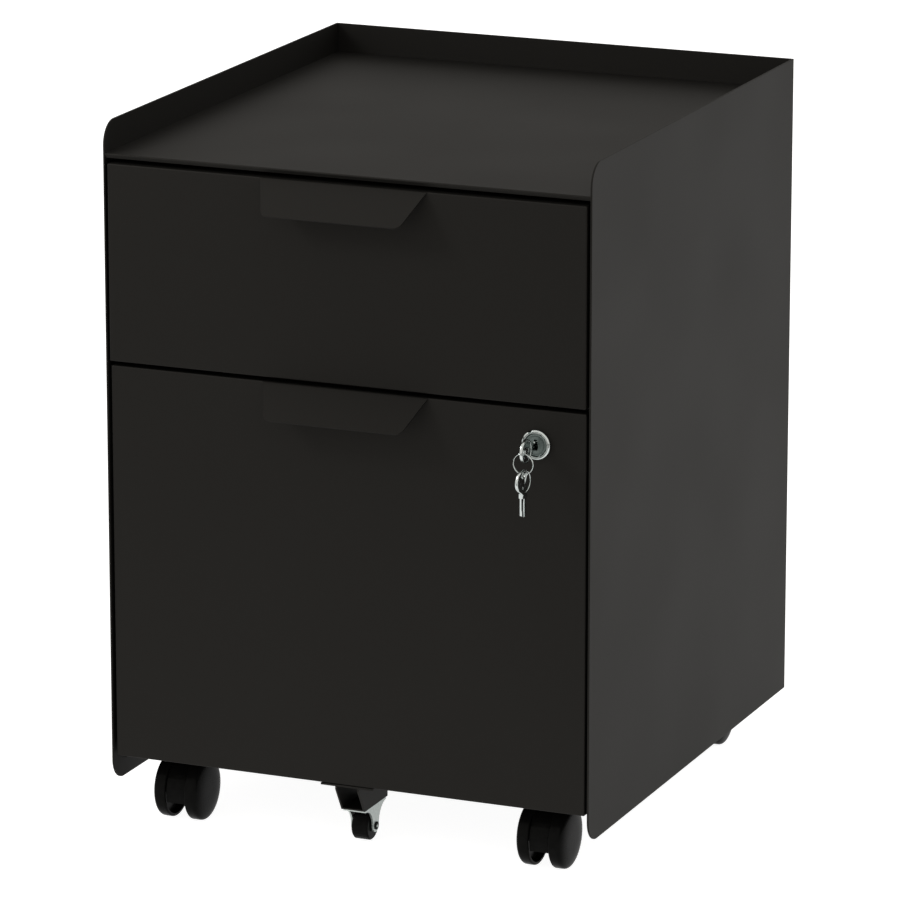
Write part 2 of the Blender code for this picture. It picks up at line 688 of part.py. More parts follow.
def castors():
    """Four swivel castors, each with two wheels that turn on one axle."""
    wheel, stem = castor_wheel_mesh(), castor_stem_mesh()
    hub, axle = castor_hub_mesh(), castor_axle_mesh()
    for end, y in (("front", CASTOR_FRONT_Y), ("rear", CASTOR_REAR_Y)):
        for side, sign in (("left", -1), ("right", 1)):
            name = f"castor_{end}_{side}"
            x = sign * CASTOR_X
            axle_place = (x, y - CASTOR_TRAIL, WHEEL_RADIUS)
            mount = add_object(f"{name}_stem", stem)
            mount.location = (x, y, 0)
            swivel = joint_empty(f"{name}_swivel_axis", (x, y, 0.050))
            body = add_object(f"{name}_hub", hub)
            body.location = (x, y, 0)
            pin = add_object(f"{name}_axle", axle)
            pin.location = axle_place
            carry(swivel, body, pin)
            for hand, turn in (("left", -1), ("right", 1)):
                spin = add_object(f"{name}_wheel_{hand}", wheel)
                spin.location = axle_place
                spin.rotation_euler = (0, turn * math.pi / 2, 0)
                carry(swivel, spin)


def tilt_bracket():
    """A channel open at the front, cut back towards its foot, under a bolted top plate."""
    top = LOWER_FACE[0] - GAP
    half, wide = TILT_BRACKET_HALF, TILT_FLANGE_HALF
    sheet = TILT_SHEET
    rim = top - sheet / 2
    outline = [(-half, rim), (-half, TILT_BRACKET_FOOT), (half, TILT_BRACKET_FOOT), (half, rim),
               (half - sheet, rim), (half - sheet, TILT_BRACKET_FOOT + sheet),
               (sheet - half, TILT_BRACKET_FOOT + sheet), (sheet - half, rim)]
    bracket = profile_bar("tilt_castor_bracket", outline, "Y", TILT_BRACKET_FRONT,
                          TILT_BRACKET_BACK, BLACK_STEEL)
    weld(bracket, box("tilt_bracket_plate", (-wide, TILT_BRACKET_FRONT - GAP, top - sheet),
                      (wide, TILT_PLATE_BACK, top)))
    ahead = TILT_BRACKET_FRONT - 0.02
    shoulder = top - sheet - TILT_SHOULDER
    slope = [(ahead, shoulder), (TILT_BRACKET_FRONT - GAP, shoulder),
             (TILT_BRACKET_TOE, TILT_BRACKET_FOOT - GAP), (TILT_BRACKET_TOE, 0.0), (ahead, 0.0)]
    cut(bracket, profile_bar("tilt_bracket_slope", slope, "X", -0.05, 0.05, None, CUTTERS))
    return bracket


def ear_outline(top):
    """Side view of the fork: full length under its plate, hollowed sides, round foot."""
    drop = top - TILT_AXLE_Z
    reach = TILT_AXLE_Y - TILT_EAR_TIP - TILT_FORK_FRONT
    front = []
    for i in range(8):
        angle = math.radians(90 * i / 8)
        front.append((TILT_FORK_FRONT + reach * math.sin(angle), top - drop * (1 - math.cos(angle))))
    rear = [(2 * TILT_AXLE_Y - y, z) for y, z in reversed(front)]
    return front + arc((TILT_AXLE_Y, TILT_AXLE_Z), TILT_EAR_TIP, 180, 360, 8) + rear


def tilt_fork():
    """A zinc plate under the bracket with two tapering ears down to the axle."""
    top = TILT_BRACKET_FOOT - GAP
    under = top - TILT_SHEET
    half, web = TILT_EAR_HALF, TILT_EAR_HALF - TILT_SHEET
    outline = [(-half, top), (-half, 0.0), (-web, 0.0), (-web, under), (web, under), (web, 0.0),
               (half, 0.0), (half, top)]
    fork = profile_bar("tilt_castor_fork", outline, "Y", TILT_FORK_FRONT, TILT_FORK_BACK, ZINC)
    clear = 0.01
    ears = ear_outline(under)
    shape = [(TILT_FORK_FRONT - clear, top + clear), (TILT_FORK_FRONT - clear, under), *ears,
             (TILT_FORK_BACK + clear, under), (TILT_FORK_BACK + clear, top + clear)]
    cheek = profile_bar("tilt_fork_outline", shape, "X", -0.03, 0.03, None, CUTTERS)
    combine(fork, cheek, 'INTERSECT')
    cut(fork, cylinder("tilt_fork_bore", TILT_AXLE_RADIUS + GAP, -0.03, 0.03, "X",
                       (0, TILT_AXLE_Y, TILT_AXLE_Z)))
    return fork


def tilt_axle():
    """A riveted pin: a shank through both ears and a domed head outside each."""
    head = TILT_EAR_HALF + GAP
    cap = [(0.0, head + 0.0012), (0.0022, head + 0.0010), (TILT_HEAD_RADIUS, head),
           (TILT_AXLE_RADIUS, head)]
    profile = cap + [(r, -x) for r, x in reversed(cap)]
    return turned("tilt_castor_axle", profile, 16, "X", (0, TILT_AXLE_Y, TILT_AXLE_Z), ZINC)


def tilt_wheel():
    half, r, bore = TILT_WHEEL_HALF, TILT_WHEEL_RADIUS, TILT_AXLE_RADIUS + GAP
    edge = TILT_WHEEL_EDGE
    profile = [(bore, half), (r - edge, half), (r, half - edge), (r, edge - half),
               (r - edge, -half), (bore, -half)]
    wheel = turned("tilt_castor_wheel", profile + [profile[0]], 28, "X",
                   (0, TILT_AXLE_Y, TILT_AXLE_Z), BLACK_PLASTIC)
    return wheel


# ---------------------------------------------------------------- assembly

def build_case():
    top_panel()
    back_panel()
    bottom_panel()
    for side, sign in (("left", -1), ("right", 1)):
        side_panel(side, sign)
        upright(f"{side}_front_upright", sign, UPRIGHT_FRONT)
        upright(f"{side}_rear_upright", sign, UPRIGHT_REAR)
    lock_strike()


def build_drawer(level, centre, drawer_pieces):
    """Slides for one drawer; what moves hangs under the drawer's own empties."""
    drawer = joint_empty(f"{level}_drawer", (0, FRONT, centre))
    middle_axis = joint_empty(f"{level}_slide_middles", (0, FRONT, centre))
    carry(drawer, *drawer_pieces)
    for side, sign in (("left", -1), ("right", 1)):
        _, middle, runner = slide_set(level, side, sign, centre)
        carry(middle_axis, middle)
        carry(drawer, runner)
    return drawer


def build_upper_drawer():
    build_drawer("upper", UPPER_SLIDE_Z,
                 [drawer_front("upper_drawer_front", UPPER_FACE, UPPER_PROUD),
                  drawer_box("upper_drawer_box", UPPER_BOX, UPPER_FACE), upper_drawer_catch()])


def build_lower_drawer():
    front = drawer_front("lower_drawer_front", LOWER_FACE, LOWER_PROUD)
    cut(front, lock_hole("lock_hole_front"))
    body = drawer_box("lower_drawer_box", LOWER_BOX, LOWER_FACE)
    cut(body, lock_hole("lock_hole_box"))
    rails = [file_rail("left", -1), file_rail("right", 1)]
    tilt = [tilt_bracket(), tilt_fork(), tilt_axle()]
    drawer = build_drawer("lower", LOWER_SLIDE_Z, [front, body, *rails, *tilt, lock_barrel()])
    wheel_axis = joint_empty("tilt_castor_axis", (0, TILT_AXLE_Y, TILT_AXLE_Z))
    carry(drawer, wheel_axis)
    carry(wheel_axis, tilt_wheel())
    return drawer


def build_lock(drawer):
    plug_axis = joint_empty("lock_plug_axis", (LOCK_X, FRONT, LOCK_Z))
    carry(drawer, plug_axis)
    in_lock, spare = place_keys()
    carry(plug_axis, lock_plug(), lock_cam(), in_lock)
    ring_axis = joint_empty("key_ring_axis", (LOCK_X, KEY_Y, ring_height()))
    carry(plug_axis, ring_axis)
    carry(ring_axis, key_ring())
    spare_axis = joint_empty("spare_key_axis", (LOCK_X, KEY_Y, ring_height() - 2 * RING_RADIUS))
    carry(ring_axis, spare_axis)
    carry(spare_axis, spare)
    lock_bar()


def main():
    build_case()
    build_upper_drawer()
    build_lock(build_lower_drawer())
    castors()
    bpy.context.view_layer.update()
    for obj in PARTS.objects:
        if obj.type == 'MESH':
            shade(obj)


main()
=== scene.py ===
"""Looks of the rolling pedestal cabinet: folded, powder-coated sheet with rounded bends, moulded
castors, a chromed lock with its keys, and a white studio. Metres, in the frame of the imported
model: the fronts face -Y, the floor is at z = 0.
"""
import json
import math

import bmesh
import bpy
from mathutils import Matrix, Vector

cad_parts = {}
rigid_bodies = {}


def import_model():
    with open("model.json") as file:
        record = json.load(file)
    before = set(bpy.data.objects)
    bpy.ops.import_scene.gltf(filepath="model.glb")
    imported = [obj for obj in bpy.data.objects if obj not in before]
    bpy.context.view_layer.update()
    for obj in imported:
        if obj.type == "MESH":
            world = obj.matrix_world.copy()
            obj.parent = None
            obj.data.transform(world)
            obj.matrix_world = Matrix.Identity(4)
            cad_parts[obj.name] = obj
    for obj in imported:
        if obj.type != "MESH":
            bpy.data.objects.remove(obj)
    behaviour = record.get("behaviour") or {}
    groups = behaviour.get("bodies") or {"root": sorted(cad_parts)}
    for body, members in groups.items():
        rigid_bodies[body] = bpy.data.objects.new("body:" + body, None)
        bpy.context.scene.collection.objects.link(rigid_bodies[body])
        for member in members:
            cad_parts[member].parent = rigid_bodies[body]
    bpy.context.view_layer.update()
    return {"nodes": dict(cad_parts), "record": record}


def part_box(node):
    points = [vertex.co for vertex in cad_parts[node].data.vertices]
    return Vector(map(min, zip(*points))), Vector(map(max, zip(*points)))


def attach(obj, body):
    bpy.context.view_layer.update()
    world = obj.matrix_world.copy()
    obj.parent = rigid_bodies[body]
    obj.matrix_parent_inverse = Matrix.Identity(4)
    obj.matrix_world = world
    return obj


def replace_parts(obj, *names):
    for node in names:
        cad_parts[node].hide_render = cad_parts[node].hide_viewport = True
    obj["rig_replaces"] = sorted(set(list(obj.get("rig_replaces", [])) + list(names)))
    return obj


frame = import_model()

# Sheet metal
SHEET = 0.0012                          # drawer and tray sheet
BEND = 0.0011                           # outer radius of a fold
EDGE = 0.0003                           # rounding of a cut edge
SEAM = 0.00028                          # gap closed by a weld
SHARP = 32                              # edges that turn by more degrees than this stay sharp
SMALL_SIDES = 32                        # sides of a small turned piece
LOCK_SIDES = 96                         # and of the lock's
PANEL_CORNER = 0.018                    # rounded front corners of the side panels
PANEL_EDGE = 0.0004                     # rounding of their cut edges
NOSE_BEND = 0.0009                      # outer radius of the tray's front edge
NOSE_BACK = 0.0011                      # how far its underside starts behind it
NOSE_HEM = 0.012                        # depth of the sheet hemmed back under it

# CAD nodes that are kept as they are
CARRIED_ROUND = 0.0002                  # rounding of their edges
CARRIED_SHARP = math.radians(40)        # an edge that turns by more than this is rounded
CARRIED_WELD = 0.000002                 # vertices closer than this are one
HUB_ROUND = 0.0009                      # rounding of a castor hub's edges beside the wheels

# Drawer fronts and pull tabs
FRONT_PROUD = {"upper": 0.001, "lower": -0.001}    # how far they stand before the side panels
PULL_TOP_HALF = 0.068
PULL_FOOT_HALF = 0.056
PULL_LENGTH = 0.0352
PULL_LEAN = math.radians(42)
PULL_CORNER = 0.007
PULL_BEND = 0.0022
PULL_LAP = 0.004                        # how far the tab starts behind the front
PULL_SINK = 0.00005                     # how far its top lies under the front's top fold
PULL_COLUMNS = 12

# Slides: holes in each member's web as distance from the front end, length and width
SLIDE_GAUGE = 0.0011
SLIDE_FOLD = 0.0018
SLIDE_SLOTS = {
    "rail": ((0.030, 0.010, 0.0045), (0.160, 0.010, 0.0045), (0.300, 0.010, 0.0045)),
    "middle": ((0.012, 0.005, 0.0050), (0.070, 0.052, 0.0110), (0.150, 0.010, 0.0060),
               (0.250, 0.052, 0.0110), (0.340, 0.005, 0.0050)),
    "runner": ((0.018, 0.010, 0.0048), (0.085, 0.022, 0.0060), (0.150, 0.010, 0.0048),
               (0.225, 0.022, 0.0060), (0.300, 0.010, 0.0048)),
}

# Screws
PAN_HEAD = [(0.0, 0.0017), (0.0014, 0.0016), (0.0025, 0.0012), (0.0032, 0.0005),
            (0.0034, 0.0), (0.0034, -0.0002), (0.0, -0.0002)]    # radius and height
RECESS_ARM = (0.0019, 0.0004)           # half length and half width of one arm of the cross
RECESS_SPAN = (0.0008, 0.0022)          # heights between which it is cut
RUNNER_SCREWS = (0.045, 0.120, 0.260)   # places along a slide's runner
FRONT_SCREW_X = 0.13                    # a front's screws, on either side of the middle
FRONT_SCREW_Z = 0.025                   # and this far inside the box's floor and rim

# Drawer boxes
BOX_HALF = 0.1775
BOX_LEVELS = {"upper": (0.384, 0.500), "lower": (0.066, 0.300)}    # floor and rim
HEM_DROP = 0.009
RAIL_CLEARANCE = 0.008                  # keeps the lower box's hems clear of its file rails

# Castor wheels
WHEEL_SEGMENTS = 72
DOME_STEPS = 14
DOME_FOOT = 0.0058                      # where the dome starts, from the wheel's inner side
DOME_FULLNESS = 0.62                    # 1 is an ellipse; less is fuller
TREAD_ROUND = 0.0012                    # rounding of the tread's inner edge
RIM_WALL = 0.0024
RIM_EDGE = (0.0002, 0.0003)             # chamfer where the hollow starts
HOLLOW_DEPTH = 0.0048
WHEEL_BOSS = [(0.0075, HOLLOW_DEPTH), (0.0072, 0.0002), (0.0068, 0.0), (0.0034, 0.0),
              (0.0034, 0.0078), (0.0, 0.0078)]    # boss and bore: radius and depth

# Fifth castor's axle
RIVET_HEAD = 0.0012                     # how far a head stands out from its ear
RIVET_TOP = ((0.0, 0.0), (0.0009, 0.0001), (0.0014, 0.0004))           # radius and depth
RIVET_FOOT = (0.0015, 0.0003)           # radius and distance from the ear
WASHER = ((0.0016, 0.0), (0.0032, 0.0), (0.0032, 0.0004), (0.0029, 0.0007), (0.0018, 0.0007),
          (0.0016, 0.0005), (0.0016, 0.0))        # radius and distance from the ear

# Lock
BARREL_HOLE = 0.0103                    # radius of the hole through the drawer front
BARREL_RADIUS = 0.0102
BARREL_BORE = 0.0089
ROSETTE_THICK = 0.0029
ROSETTE_LIP = ((BARREL_BORE, 0.0014), (BARREL_BORE, 0.0004), (0.0092, 0.0), (0.0098, 0.0),
               (0.0100, 0.0002), (0.0101, 0.0006), (0.0103, 0.0006),
               (0.0104, 0.0002))                  # radius and depth below the face
ROSETTE_RIM = ((0.0007, 0.0006), (0.0003, 0.0009), (0.0001, 0.0014))   # inset and depth
ROSETTE_NOTCH_ANGLE = math.radians(114)
ROSETTE_NOTCH = (0.0032, 0.0022)        # width and depth
PLUG_FACE = ((0.0, 0.0), (0.0066, 0.0), (0.0068, 0.0004), (0.0073, 0.0004),
             (0.0075, 0.0))                       # radius and depth, with a turned groove
PLUG_EDGE = ((0.0006, 0.0), (0.0002, 0.0003), (0.0001, 0.0008))        # inset and depth
PLUG_TAIL = 0.004                       # radius behind the cam
CAM_GAP = 0.0003
KEYWAY = ((-0.0014, 0.0042), (-0.0014, -0.0042), (0.0014, -0.0042), (0.0021, -0.0015),
          (0.0014, 0.0020), (0.0014, 0.0042))     # section about the lock's axis
KEYWAY_DEPTH = 0.0158

# Keys
KEY_LENGTH = 0.037
KEY_THICK = 0.0022
KEY_EDGE = 0.00030
KEY_TIP = 0.002
BOW_LENGTH = 0.019
BOW_HALF = 0.00925
BOW_STEPS = 48
BOW_RIM = 0.0011                        # width of the bow's raised rim
BOW_DISH = 0.0003                       # how deep the bow lies inside it
BOW_HOLE = 0.0045
BOW_HOLE_RADIUS = 0.0018
EYELET = ((0.0027, -0.0002), (0.0027, 0.00015), (0.0025, 0.0003), (0.0021, 0.0003),
          (0.0019, 0.0001), (0.0019, -0.0002), (0.0027, -0.0002))      # radius and height
STAMP = ((0.0128, -0.0016), (0.0148, -0.0016), (0.0148, 0.0016), (0.0128, 0.0016))
STAMP_SPAN = (-0.0002, 0.0003)          # from inside the dish to its raised top
STAMP_ROUND = 0.00015
NECK_LENGTH = 0.0025
NECK_HALF = 0.0042
BLADE_HALF = 0.0034
BLADE_THICK = 0.0014
BLADE_STRIPS = (("relief", 0.0003, 0.01, 0.0),
                ("groove", 0.0010, 0.0008, 0.0004))    # name, start, half width and depth
KEY_CUTS = ((0.0110, 0.0007), (0.0084, 0.0012), (0.0058, 0.0005), (0.0032, 0.0010))
CUT_TOP_HALF = 0.0011
CUT_FOOT_HALF = 0.0004
PAST = 0.01                             # how far a cutter reaches past the key
SPARE_TURN = math.radians(-12)

# Split ring
RING_STEP = 0.25                        # half the angle over which the wire steps across
RING_PLACES = 180                       # places along the two turns
RING_AROUND = 12                        # and round the wire

# Studio; the limits of a ramp are from low, from high, to low, to high
NOISE_SPAN = (0.3, 0.7)                 # most of a noise texture lies between these
WHITE = (1.0, 1.0, 1.0, 1.0)
FLOOR_SIZE = 30
FLOOR_GLOW = 0.75
FLOOR_SEEN = 0.94                       # glow of the floor that the camera sees
DIM_RIGHT = (-1.6, 0.0, 0.35, 1.0)      # share of the glow lost, by x
DIM_AHEAD = (-0.95, -0.60, 1.0, 0.0)    # and by y
BACK_DIM = (-0.3, 0.8, 1.0, 0.62)       # light from a direction, by its y
WORLD_TINT = (1.0, 0.970, 0.925, 1.0)   # the light; the camera sees plain white
LIGHTS = (                              # name, place, target, size and power
    ("top_soft_light", (0.6, 0.4, 2.6), (0, 0, 0.4), (2.0, 2.0), 2.4),
    ("front_left_light", (-0.80, -0.85, 1.10), (-0.1, -0.2, 0.3), (0.3, 0.3), 4.6),
)

# Camera
CAMERA_PLACE = (1.7626, -4.1878, 1.4768)
CAMERA_YAW = 22.811
CAMERA_PITCH = 14.834
CAMERA_LENS = 238.1
CAMERA_SENSOR = 36.0
CAMERA_REACH = 60.0


# ---------------------------------------------------------------- node materials

def new_material(name, base, roughness, metallic=0.0, specular=0.5,
                 edge_tint=(1.0, 1.0, 1.0)):
    """A material, its node tree and its shader, with these values on the shader's sockets."""
    mat = bpy.data.materials.new(name)
    mat.use_nodes = True
    mat.diffuse_color = (*base, 1.0)
    shader = mat.node_tree.nodes["Principled BSDF"]
    shader.inputs["Base Color"].default_value = (*base, 1.0)
    shader.inputs["Roughness"].default_value = roughness
    shader.inputs["Metallic"].default_value = metallic
    shader.inputs["Specular IOR Level"].default_value = specular
    shader.inputs["Specular Tint"].default_value = (*edge_tint, 1.0)
    return mat, mat.node_tree, shader


def noise(tree, scale, detail=2.0, stretch=(1, 1, 1)):
    """Solid noise in object space; scale is in features per metre."""
    where = tree.nodes.new("ShaderNodeTexCoord")
    mapping = tree.nodes.new("ShaderNodeMapping")
    mapping.inputs["Scale"].default_value = stretch
    texture = tree.nodes.new("ShaderNodeTexNoise")
    texture.inputs["Scale"].default_value = scale
    texture.inputs["Detail"].default_value = detail
    tree.links.new(where.outputs["Object"], mapping.inputs["Vector"])
    tree.links.new(mapping.outputs["Vector"], texture.inputs["Vector"])
    return texture.outputs["Fac"]


def remap(tree, value, low, high):
    """A number between two limits as a noise value goes from low to high."""
    node = tree.nodes.new("ShaderNodeMapRange")
    node.inputs["From Min"].default_value, node.inputs["From Max"].default_value = NOISE_SPAN
    node.inputs["To Min"].default_value = low
    node.inputs["To Max"].default_value = high
    tree.links.new(value, node.inputs["Value"])
    return node.outputs["Result"]


def tint(tree, value, low, high, shader):
    """Base colour between two colours as a noise value goes from low to high."""
    colours = tree.nodes.new("ShaderNodeValToRGB")
    for element, place, colour in zip(colours.color_ramp.elements, NOISE_SPAN, (low, high)):
        element.position = place
        element.color = (*colour, 1.0)
    tree.links.new(value, colours.inputs["Fac"])
    tree.links.new(colours.outputs["Color"], shader.inputs["Base Color"])


def add_bump(tree, shader, height, depth, strength):
    """Fine relief from a noise value; depth in metres."""
    bump = tree.nodes.new("ShaderNodeBump")
    bump.inputs["Strength"].default_value = strength
    bump.inputs["Distance"].default_value = depth
    tree.links.new(height, bump.inputs["Height"])
    tree.links.new(bump.outputs["Normal"], shader.inputs["Normal"])


def powder_coat():
    """Matt anthracite powder coat: fine orange peel, slightly uneven sheen."""
    mat, tree, shader = new_material("powder_coat", (0.0040, 0.0038, 0.0035), 0.60,
                                     specular=0.18, edge_tint=(1.0, 0.955, 0.885))
    grain = noise(tree, 1500, detail=3)
    cloud = noise(tree, 9, detail=1)
    tint(tree, grain, (0.0032, 0.0031, 0.0028), (0.0048, 0.0046, 0.0042), shader)
    tree.links.new(remap(tree, cloud, 0.585, 0.615), shader.inputs["Roughness"])
    add_bump(tree, shader, grain, 0.00003, 0.5)
    return mat


def moulded_plastic():
    """Black nylon of the castors, with a faint mould grain."""
    mat, tree, shader = new_material("castor_plastic", (0.0016, 0.0016, 0.0016), 0.24,
                                     specular=0.028)
    tint(tree, noise(tree, 160), (0.0026, 0.0026, 0.0025), (0.0040, 0.0040, 0.0038), shader)
    tree.links.new(remap(tree, noise(tree, 220), 0.20, 0.28), shader.inputs["Roughness"])
    add_bump(tree, shader, noise(tree, 2600), 0.00002, 0.4)
    return mat


def zinc_plate():
    """Bright zinc with the faint crystal mottling and drawing lines of plated strip."""
    mat, tree, shader = new_material("zinc", (0.46, 0.50, 0.48), 0.34, metallic=1.0)
    mottle = noise(tree, 420, detail=3)
    tint(tree, mottle, (0.38, 0.42, 0.40), (0.53, 0.57, 0.55), shader)
    tree.links.new(remap(tree, mottle, 0.28, 0.42), shader.inputs["Roughness"])
    add_bump(tree, shader, noise(tree, 900, stretch=(1, 0.05, 1)), 0.00002, 0.5)
    return mat


def chrome():
    """Bright nickel-chrome, with slight waviness from polishing."""
    mat, tree, shader = new_material("chrome", (0.55, 0.59, 0.58), 0.12, metallic=1.0)
    wave = noise(tree, 300)
    tint(tree, wave, (0.48, 0.52, 0.51), (0.60, 0.64, 0.63), shader)
    polish = noise(tree, 1200, detail=3)
    tree.links.new(remap(tree, polish, 0.07, 0.15), shader.inputs["Roughness"])
    add_bump(tree, shader, wave, 0.00002, 0.5)
    return mat


def lock_disc():
    """Grey-green satin face of the lock plug."""
    mat, tree, shader = new_material("lock_disc", (0.20, 0.235, 0.225), 0.38, metallic=1.0)
    grain = noise(tree, 3000, detail=3)
    tint(tree, grain, (0.10, 0.125, 0.12), (0.20, 0.235, 0.225), shader)
    tree.links.new(remap(tree, grain, 0.32, 0.46), shader.inputs["Roughness"])
    add_bump(tree, shader, grain, 0.00003, 0.6)
    return mat


MATERIALS = {"powder_coat": powder_coat(), "castor_plastic": moulded_plastic(),
             "zinc": zinc_plate(), "chrome": chrome(), "lock_disc": lock_disc()}


# ---------------------------------------------------------------- mesh helpers

BODY_OF = {node: body for body, nodes in frame["record"]["behaviour"]["bodies"].items()
           for node in nodes}
SLOT_OF = {part["node"]: part["material_slot"] for part in frame["record"]["subparts"]}


def add_object(name, bm):
    """A scene object from a bmesh, with its faces turned outwards."""
    mesh = bpy.data.meshes.new(name)
    bmesh.ops.recalc_face_normals(bm, faces=bm.faces)
    bm.to_mesh(mesh)
    bm.free()
    obj = bpy.data.objects.new(name, mesh)
    bpy.context.scene.collection.objects.link(obj)
    return obj


def smooth(obj, angle=SHARP):
    """Smooth shading that stops at edges turning by more than this many degrees."""
    obj.data.shade_smooth()
    obj.data.set_sharp_from_angle(angle=math.radians(angle))


def soften(obj, width=EDGE, segments=3, angle=SHARP):
    """Round the cut edges and keep the flats flat."""
    bevel = obj.modifiers.new("Edges", 'BEVEL')
    bevel.width = width
    bevel.segments = segments
    bevel.limit_method = 'ANGLE'
    bevel.angle_limit = math.radians(angle)
    bevel.harden_normals = True
    smooth(obj, angle)


def apply_modifiers(obj):
    """Replace an object's mesh by what its modifiers make of it."""
    bpy.context.view_layer.update()
    evaluated = obj.evaluated_get(bpy.context.evaluated_depsgraph_get())
    mesh = bpy.data.meshes.new_from_object(evaluated)
    obj.modifiers.clear()
    obj.data = mesh
    return obj


def join(name, objects):
    """One object from several, which go."""
    bm = bmesh.new()
    for obj in objects:
        bpy.context.view_layer.update()
        mesh = obj.data.copy()
        mesh.transform(obj.matrix_world)
        bm.from_mesh(mesh)
        bpy.data.objects.remove(obj, do_unlink=True)
    return add_object(name, bm)


def plate(name, outline, axis, start, end):
    """A flat outline in (y, z) run along X, or one in (x, z) run along Y."""
    bm = bmesh.new()
    ends = [[bm.verts.new((w, u, v) if axis == "X" else (u, w, v)) for u, v in outline]
            for w in (start, end)]
    for ring in ends:
        bm.faces.new(ring)
    for i in range(len(outline)):
        j = (i + 1) % len(outline)
        bm.faces.new((ends[0][i], ends[0][j], ends[1][j], ends[1][i]))
    return add_object(name, bm)


def arc(centre, radius, start, end, steps):
    """Points of an arc between two angles in degrees, both ends included."""
    angles = [math.radians(start + (end - start) * i / steps) for i in range(steps + 1)]
    return [(centre[0] + radius * math.cos(angle), centre[1] + radius * math.sin(angle))
            for angle in angles]


def turned(name, profile, steps, axis, place):
    """A profile of (radius, distance along the axis) turned about that axis through place."""
    frames = {"X": ((0, 1, 0), (0, 0, 1), (1, 0, 0)), "-X": ((0, 1, 0), (0, 0, 1), (-1, 0, 0)),
              "-Y": ((1, 0, 0), (0, 0, 1), (0, -1, 0))}
    u, v, w = (Vector(direction) for direction in frames[axis])
    place = Vector(place)
    bm = bmesh.new()
    rings = []
    for radius, along in profile:
        if radius == 0:
            rings.append([bm.verts.new(place + w * along)])
            continue
        turns = [2 * math.pi * i / steps for i in range(steps)]
        rings.append([bm.verts.new(place + w * along
                                   + (u * math.cos(turn) + v * math.sin(turn)) * radius)
                      for turn in turns])
    for low, high in zip(rings, rings[1:]):
        for i in range(steps):
            j = (i + 1) % steps
            corners = [low[i % len(low)], low[j % len(low)], high[j % len(high)],
                       high[i % len(high)]]
            bm.faces.new(list(dict.fromkeys(corners)))
    return add_object(name, bm)


def drill(obj, *cutters, edge=None):
    """Take the cutters out of a solid and, if asked, round the edges that are left."""
    for cutter in cutters:
        hole = obj.modifiers.new("Hole", 'BOOLEAN')
        hole.object = cutter
        hole.solver = 'EXACT'
    if edge:
        soften(obj, edge, 3, 40)
    apply_modifiers(obj)
    for cutter in cutters:
        bpy.data.objects.remove(cutter, do_unlink=True)


def dress(obj, node, slot):
    """Give a piece its material and let it ride with a CAD node."""
    obj.data.materials.clear()
    obj.data.materials.append(MATERIALS[slot])
    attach(obj, BODY_OF[node])


def finish_piece(obj, node):
    """A piece that rides with its CAD node and stands for it."""
    dress(obj, node, SLOT_OF[node])
    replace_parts(obj, node)


# ---------------------------------------------------------------- case

def side_panels():
    """Plain sheets with rounded front corners."""
    for side in ("left", "right"):
        low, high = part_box(f"{side}_side_panel")
        r = PANEL_CORNER
        outline = arc((low.y + r, high.z - r), r, 180, 90, 24)
        outline += [(high.y, high.z), (high.y, low.z)]
        outline += arc((low.y + r, low.z + r), r, 270, 180, 24)
        panel = plate(f"{side}_panel_sheet", outline, "X", low.x, high.x)
        soften(panel, PANEL_EDGE, 4)
        finish_piece(panel, f"{side}_side_panel")


def back_sheet():
    """Back panel, welded along both sides so that no light shows at the corners."""
    low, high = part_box("back_panel")
    left, right = low.x - SEAM, high.x + SEAM
    outline = [(left, low.z), (right, low.z), (right, high.z), (left, high.z)]
    back = plate("back_panel_sheet", outline, "Y", low.y, high.y)
    soften(back)
    finish_piece(back, "back_panel")


def tray_top():
    """Tray floor whose front edge turns over a tight bend and is hemmed back under itself."""
    low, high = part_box("top_panel")
    hem_end = low.y + NOSE_HEM
    outline = [(low.y + NOSE_BACK, low.z)]
    outline += arc((low.y + NOSE_BEND, high.z - NOSE_BEND), NOSE_BEND, 215, 90, 10)
    outline += [(high.y, high.z), (high.y, high.z - SHEET), (hem_end, high.z - SHEET),
                (hem_end, low.z)]
    tray = plate("tray_sheet", outline, "X", low.x - SEAM, high.x + SEAM)
    smooth(tray)
    finish_piece(tray, "top_panel")


# ---------------------------------------------------------------- drawer fronts

def folded_pan(name, low, high):
    """A front sheet with four returns, bent round rather than mitred sharp."""
    bm = bmesh.new()
    size = high - low
    centre = Matrix.Translation((low + high) / 2)
    bmesh.ops.create_cube(bm, size=1.0, matrix=centre @ Matrix.Diagonal((*size, 1.0)))
    back = [face for face in bm.faces if face.normal.y > 0.9]
    bmesh.ops.delete(bm, geom=back, context='FACES')
    pan = add_object(name, bm)
    folds = pan.modifiers.new("Folds", 'BEVEL')
    folds.width = BEND
    folds.segments = 6
    folds.limit_method = 'ANGLE'
    sheet = pan.modifiers.new("Sheet", 'SOLIDIFY')
    sheet.thickness = SHEET
    sheet.offset = -1
    sheet.use_even_offset = True
    return apply_modifiers(pan)


def pull_half_width(along):
    """Half width of the tab at a distance along its slope, with its lower corners rounded."""
    slant = math.atan2(PULL_LENGTH, PULL_TOP_HALF - PULL_FOOT_HALF)
    centre_x = PULL_FOOT_HALF - PULL_CORNER * math.tan(slant / 2)
    centre_s = PULL_LENGTH - PULL_CORNER
    straight = PULL_TOP_HALF + (PULL_FOOT_HALF - PULL_TOP_HALF) * along / PULL_LENGTH
    leaves = centre_s + PULL_CORNER * math.cos(slant)
    if along <= leaves:
        return straight
    return centre_x + math.sqrt(max(PULL_CORNER ** 2 - (along - centre_s) ** 2, 0.0))


